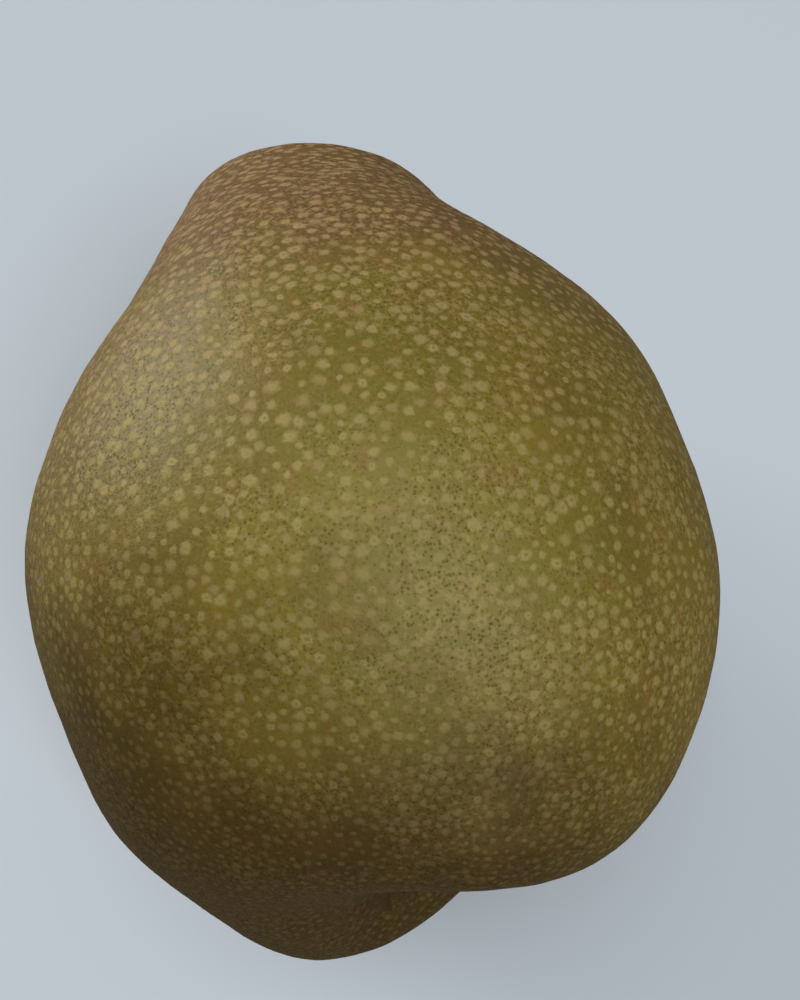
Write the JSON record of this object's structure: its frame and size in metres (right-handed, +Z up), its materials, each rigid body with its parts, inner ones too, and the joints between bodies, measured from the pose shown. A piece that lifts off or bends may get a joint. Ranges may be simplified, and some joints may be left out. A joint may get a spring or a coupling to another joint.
{
  "type": "pear",
  "caption": "Whole fresh pear lying on its side: uneven rounded body with a tapered neck, a lobed blossom end and a short woody stem.",
  "frame": {"origin": "on the table plane, under the middle of the whole object's box; the rest spot is at z = 0", "axes": "+Z up; +Y along the fruit's long axis from the blossom end towards the stem; +X to the right when seen from the blossom end"},
  "size_m": [0.0884, 0.1178, 0.083],
  "materials": {
    "skin": "satin waxy olive-green pear skin with brown russet and raised tan lenticels",
    "stem_wood": "dull dark brown bark"
  },
  "bodies": {
    "root": {"pear_fruit": "skin", "stem": "stem_wood"}
  },
  "joints": []
}
